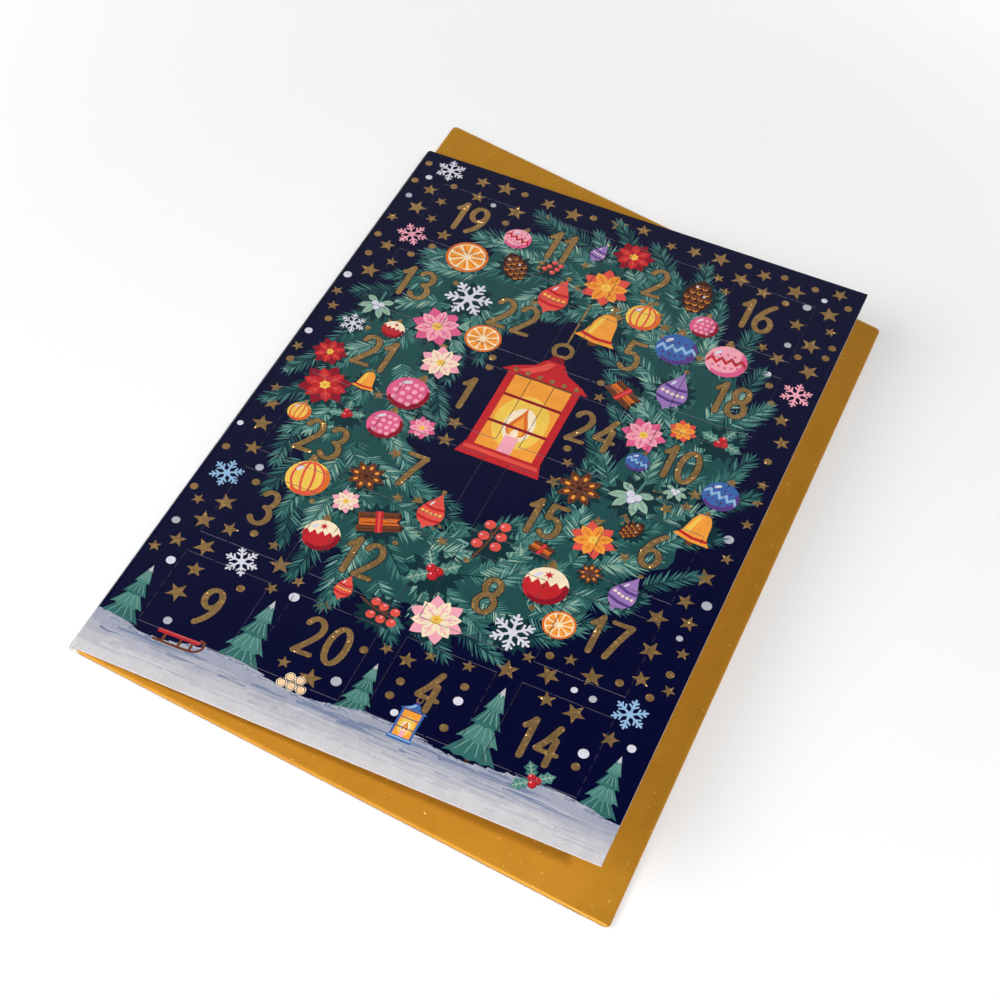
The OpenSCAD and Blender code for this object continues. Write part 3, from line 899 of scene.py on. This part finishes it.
board_nodes = ["cover_sheet"] + [f"door_{k:02d}" for k in range(1, 25)]
pieces = [(k, cut_lines(node)) for k, node in enumerate(board_nodes)]
inked = [(INK_NAMES.index(name), outline) for name, outline in picture]
spots, faces, inks, piece = cut_sheet(inked, pieces)
heights = on_sheet("cover_sheet")[:, 2]
board_top, board_under = heights.max(), heights.min()
for k, node in enumerate(board_nodes):
    mine = piece == k
    made = plate("printed_" + node, spots, faces[mine], inks[mine], board_top, board_under,
                 (printed, board_core, board_inside, cut_edge_painted_shade if k == 0 else door_edge_painted_shade),
                 0.99 if k == 0 else 0.69)
    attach(made, "cover" if k == 0 else node)
    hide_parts(node)


# Spine fold
# Where the board is scored and turned over from the back panel to the cover. The picture runs round
# it in bands, night above and snow below, with its gloss cracked dull; its inside is bare board.
SPINE_STEPS = 14
SPINE_BANDS = (("drift", 2.6), ("snow", 5.6), ("haze", 8.2), ("dusk", 11.2), ("navy", SHEET_H))
inner_r = board_under * 1e-3
sweep = np.linspace(-math.pi / 2, -math.pi * 1.5 + raised, SPINE_STEPS + 1)
levels = [foot] + [foot + top * 1e-3 for _, top in SPINE_BANDS]
rows = []
for r in (FOLD_R, inner_r):
    for y in levels:
        rows += [(pivot[0] + r * math.cos(a), y, pivot[2] + r * math.sin(a)) for a in sweep]
wide = SPINE_STEPS + 1
deep = wide * len(levels)
head = deep - wide
bare, core = len(SPINE_BANDS), len(SPINE_BANDS) + 1
spine_faces, spine_kinds = [], []
for band in range(len(SPINE_BANDS)):
    for k in range(SPINE_STEPS):
        a = band * wide + k
        b = a + deep
        spine_faces += [(a, a + 1, a + 1 + wide, a + wide), (b, b + wide, b + wide + 1, b + 1)]
        spine_kinds += [band, bare]
    for k in (0, SPINE_STEPS):
        a = band * wide + k
        face = (a, a + wide, a + wide + deep, a + deep)
        spine_faces.append(face if k == 0 else face[::-1])
        spine_kinds.append(core)
for k in range(SPINE_STEPS):
    spine_faces.append((k, k + deep, k + 1 + deep, k + 1))
    spine_faces.append((k + head, k + 1 + head, k + 1 + head + deep, k + head + deep))
    spine_kinds += [core, core]
spine_papers = [paper(ink + "_fold", INKS[ink], 0.14, 0.15, 0.04 if ink == "navy" else 0.1)
                for ink, _ in SPINE_BANDS]
mesh = shaped("printed_spine", rows, spine_faces, [*spine_papers, board_inside, board_core],
              spine_kinds, [kind != core for kind in spine_kinds])
mesh.validate()
spine = put("printed_spine", mesh)
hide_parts("spine_fold")
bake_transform(spine)


# Picture sheet
# A second, thinner sheet pasted behind the cover. It closes the cuts from behind and holds a small
# picture for each door; paste lies everywhere except behind the doors.
picture.clear()
GROUNDS = ("sky", "blush", "cream", "sage", "navy", "yellow")
half = DOOR / 2 - 0.4
for number, (u, v) in door_middles.items():
    trimming, share, inks = TRIMMINGS[(number * 7) % len(TRIMMINGS)]
    ground = next(ink for ink in GROUNDS[number % len(GROUNDS):] + GROUNDS if ink not in inks)
    paint(ground, slab(u - half, v - half, u + half, v + half))
    for k in range(9):
        paint("white", dot(u + rng.uniform(-9, 9), v + rng.uniform(-9, 9), 0.5, 10))
    trimming(spot_on((u, v - 0.6), 6.6 * share), *inks)
sheet_loops = cut_lines("picture_sheet")
# The sheet's ground is grey haze, not white, so the cuts show darker over it: painted shade.
inked = [(INK_NAMES.index("haze"), sheet_loops[0])]
inked += [(INK_NAMES.index(name), outline) for name, outline in picture]
spots, faces, inks, piece = cut_sheet(inked, [(0, sheet_loops)])
heights = on_sheet("picture_sheet")[:, 2]
pictures = plate("picture_card", spots, faces, inks, heights.max(), heights.min(),
                 (printed, board_core, board_inside, cut_edge_painted_shade), 0.99)
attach(pictures, "cover")
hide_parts("picture_sheet")

paste = paper("dry_paste", (232, 228, 216), 0.1, 0.0, 0.5)
coated("glue_film", paste)


# Envelope
# A gold envelope tucked into the card: one cut of pearl paper with mica in its coating, folded in at
# the head and foot and up from the side, seamed with paste; the closing flap has a gum strip. The mica
# flakes are coated and tilted, and their glints are also painted pale gold into the base colour.
gold_paper, tree, shader = finish("gold_pearl_paper")
tooth = wire(tree, "Group", node_tree=fibre, Colour=shade(210, 147, 37), Mottle=0.2)
mica = wire(tree, "Group", node_tree=flakes, Scale=3000, Tilt=0.5, Share=0.004, Ripple=0.04)
# Painted glint: the picked mica flakes are coloured pale gold, bright whatever way the light falls.
painted_glint = wire(tree, "Mix", {"Factor": mica.outputs["Glint"], 6: tooth.outputs["Colour"]},
               data_type="RGBA")
painted_glint.inputs[7].default_value = shade(248, 204, 110)
feed(tree, shader, {"Base Color": painted_glint.outputs[2], "Roughness": tooth.outputs["Rough"],
                    "Coat Weight": mica.outputs["Glint"], "Normal": mica.outputs["Normal"]},
     Metallic=0.35, Coat_Roughness=0.3)


def gold_piece(node, points, faces):
    """One piece of the envelope in place of its plain node: four-cornered faces are rolled, others flat."""
    rolled = [len(face) == 4 for face in faces]
    mesh = shaped("gold_" + node, points, faces, [gold_paper], [0] * len(faces), rolled)
    mesh.validate()
    made = put("gold_" + node, mesh)
    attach(made, "envelope")
    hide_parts(node)


PANELS = ("face", "top_flap", "foot_flap", "back_flap", "closing_flap")
boxes = {name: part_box("envelope_" + name) for name in PANELS}
TOP = boxes["face"][1].z
SHEET = TOP - boxes["face"][0].z
WEST, EAST = boxes["back_flap"][0].x, boxes["closing_flap"][1].x
SOUTH, NORTH = boxes["foot_flap"][0].y, boxes["top_flap"][1].y
DROP = (TOP - boxes["foot_flap"][0].z) / 2
ROLL, CORNER, CORNER_RELIEF = 0.001, 0.0011, 0.0009
ROLL_STEPS, CORNER_STEPS, FLAP_STEPS = 12, 6, 8


def face_ring(inset, z):
    """The face panel's outline with its rounded corners, drawn in from its edge by the inset."""
    ring = []
    for x, y, first in ((EAST, NORTH, 0), (WEST, NORTH, 90), (WEST, SOUTH, 180), (EAST, SOUTH, 270)):
        mid_x, mid_y = x - math.copysign(CORNER, x), y - math.copysign(CORNER, y)
        for a in np.radians(np.linspace(first, first + 90, CORNER_STEPS + 1)):
            ring.append((mid_x + (CORNER - inset) * math.cos(a), mid_y + (CORNER - inset) * math.sin(a), z))
    return ring


points, faces = [], []
for side in (0, 1):
    for a in np.linspace(0, math.pi / 2, ROLL_STEPS + 1):
        lean = math.atan2(DROP * math.sin(a), ROLL * math.cos(a))
        inset = ROLL * (1 - math.sin(a)) + side * SHEET * math.sin(lean)
        points += face_ring(inset, TOP - DROP * (1 - math.cos(a)) - side * SHEET * math.cos(lean))
round_it = len(points) // 2 // (ROLL_STEPS + 1)
inner = len(points) // 2
for k in range(ROLL_STEPS):
    for j in range(round_it):
        a, b = k * round_it + j, k * round_it + (j + 1) % round_it
        faces.append((a, a + round_it, b + round_it, b))
        faces.append((inner + a, inner + b, inner + b + round_it, inner + a + round_it))
for j in range(round_it):
    a, b = ROLL_STEPS * round_it + j, ROLL_STEPS * round_it + (j + 1) % round_it
    faces.append((a, inner + a, inner + b, b))
faces += [tuple(range(round_it)), tuple(inner + j for j in range(round_it))[::-1]]
gold_piece("envelope_face", points, faces)

FLAPS = {"top_flap": ((0, -1), NORTH, (WEST, EAST)), "foot_flap": ((0, 1), SOUTH, (WEST, EAST)),
         "back_flap": ((1, 0), WEST, (SOUTH, NORTH)), "closing_flap": ((-1, 0), EAST, (SOUTH, NORTH))}
for name, (inward, edge, span) in FLAPS.items():
    node = "envelope_" + name
    low = boxes[name][0].z
    bend = (TOP - low) / 2
    corners = np.round(np.array([v.co for v in frame["nodes"][node].data.vertices]), 8)
    loop = outlines(node, corners, low, 1e-7)[0]
    n = len(loop)
    points = [(x, y, low) for x, y in loop] + [(x, y, low + SHEET) for x, y in loop]
    faces = [tuple(range(n)), tuple(range(n, 2 * n))[::-1]]
    faces += [(k, k + n, (k + 1) % n + n, (k + 1) % n) for k in range(n)]
    turn = [(bend * (1 - math.sin(a)), low + bend * (1 - math.cos(a)), a)
            for a in np.linspace(0, math.pi / 2, FLAP_STEPS + 1)]
    turn.append((0.0, TOP - DROP, math.pi / 2))
    outer = [(d, z) for d, z, a in turn]
    inside_turn = [(d + SHEET * math.sin(a), z + SHEET * math.cos(a) * (z < TOP - DROP))
                   for d, z, a in turn]
    profile = outer + inside_turn[::-1]
    m = len(profile)
    for at in (span[0] + CORNER_RELIEF, span[1] - CORNER_RELIEF):
        for d, z in profile:
            x, y = (edge + inward[0] * d, at) if inward[0] else (at, edge + inward[1] * d)
            points.append((x, y, z))
    base = 2 * n
    flip = inward[0] - inward[1] > 0
    roll_faces = [(base + k, base + (k + 1) % m, base + m + (k + 1) % m, base + m + k) for k in range(m)]
    roll_faces += [tuple(base + k for k in range(m))[::-1], tuple(base + m + k for k in range(m))]
    faces += [face[::-1] for face in roll_faces] if flip else roll_faces
    gold_piece(node, points, faces)
gum, tree, shader = finish("dry_gum")
tooth = wire(tree, "Group", node_tree=fibre, Colour=shade(214, 190, 140), Mottle=0.18)
feed(tree, shader, {"Base Color": tooth.outputs["Colour"]}, Roughness=0.18)
coated("gum_strip", gum)
coated("seam_glue", paste)


# Table, light and camera
# A white seamless sweep under a small hard lamp from the front right and a wide soft one from the
# front left, in a room with pale walls and a dark ceiling; the lens is about twice normal length.
FLOOR_R, COVE_R, SWEEP_SIDES = 1.4, 0.6, 64
profile = [(FLOOR_R, 0.0)]
for a in np.linspace(0.15, 1.5, 10):
    profile.append((FLOOR_R + COVE_R * math.sin(a), COVE_R - COVE_R * math.cos(a)))
turns = np.linspace(0, math.tau, SWEEP_SIDES, endpoint=False)
rows = [(0.0, 0.0, 0.0)] + [(r * math.cos(t), r * math.sin(t), z) for r, z in profile for t in turns]
after = [(k + 1) % SWEEP_SIDES for k in range(SWEEP_SIDES)]
sweep_faces = [(0, 1 + k, 1 + after[k]) for k in range(SWEEP_SIDES)]
for ring in range(len(profile) - 1):
    a = 1 + SWEEP_SIDES * ring
    b = a + SWEEP_SIDES
    sweep_faces += [(a + k, b + k, b + after[k], a + after[k]) for k in range(SWEEP_SIDES)]
sweep_paper, tree, shader = finish("white_sweep")
seen = wire(tree, "LightPath")
mirrored_in = calc(tree, "ADD", seen.outputs["Is Glossy Ray"], seen.outputs["Is Transmission Ray"])
shown = calc(tree, "MULTIPLY_ADD", mirrored_in, 0.4, seen.outputs["Is Camera Ray"])
spot = wire(tree, "NewGeometry").outputs["Position"]
away = wire(tree, "VectorMath", {0: spot}, operation="LENGTH")
paling = wire(tree, "MapRange", {"Value": away.outputs["Value"]}, interpolation_type="SMOOTHSTEP",
              From_Min=0.11, From_Max=0.55, To_Min=0.14, To_Max=0.9)
feed(tree, shader, {"Emission Strength": calc(tree, "MULTIPLY", shown, paling.outputs[0])},
     Base_Color=(0.9, 0.9, 0.9, 1), Roughness=0.9, Specular_IOR_Level=0.1, Emission_Color=(1, 1, 1, 1))
many = len(sweep_faces)
put("sweep", shaped("sweep", rows, sweep_faces, [sweep_paper], [0] * many, [True] * many))

LAMPS = (("key_lamp", (0.27, -0.422, 0.865), 0.1, 7.35), ("soft_lamp", (-0.5, -0.6, 0.62), 0.7, 7.5))
LAMP_REACH = 1.2
for name, way, size, power in LAMPS:
    lamp = bpy.data.lights.new(name, "AREA")
    lamp.shape = "DISK"
    lamp.size = size
    lamp.energy = power
    holder = put(name, lamp)
    holder.location = Vector(way).normalized() * LAMP_REACH
    holder.rotation_mode = "QUATERNION"
    holder.rotation_quaternion = Vector(way).to_track_quat("Z", "Y")
world = bpy.data.worlds.new("room")
world.use_nodes = True
tree = world.node_tree
way = wire(tree, "SeparateXYZ", {0: wire(tree, "TexCoord").outputs["Generated"]})
walls = wire(tree, "MapRange", {"Value": way.outputs["Z"]}, interpolation_type="SMOOTHSTEP",
             From_Min=0.7, From_Max=0.75, To_Min=0.33, To_Max=0.015)
feed(tree, tree.nodes["Background"], {"Strength": walls.outputs[0]}, Color=(1, 1, 1, 1))
bpy.context.scene.world = world

lens = bpy.data.cameras.new("camera")
lens.sensor_width = 36
lens.lens = 70.84
lens.shift_x = 0.025
lens.clip_start = 0.01
camera = put("camera", lens)
CAMERA_TURN = (35.268, -11.15, 24.884)
turned = Euler([math.radians(a) for a in CAMERA_TURN])
camera.matrix_world = Matrix.LocRotScale(Vector((0.039854, -0.280129, 0.364014)), turned, None)
bpy.context.scene.camera = camera
bpy.context.scene.view_settings.view_transform = "Standard"
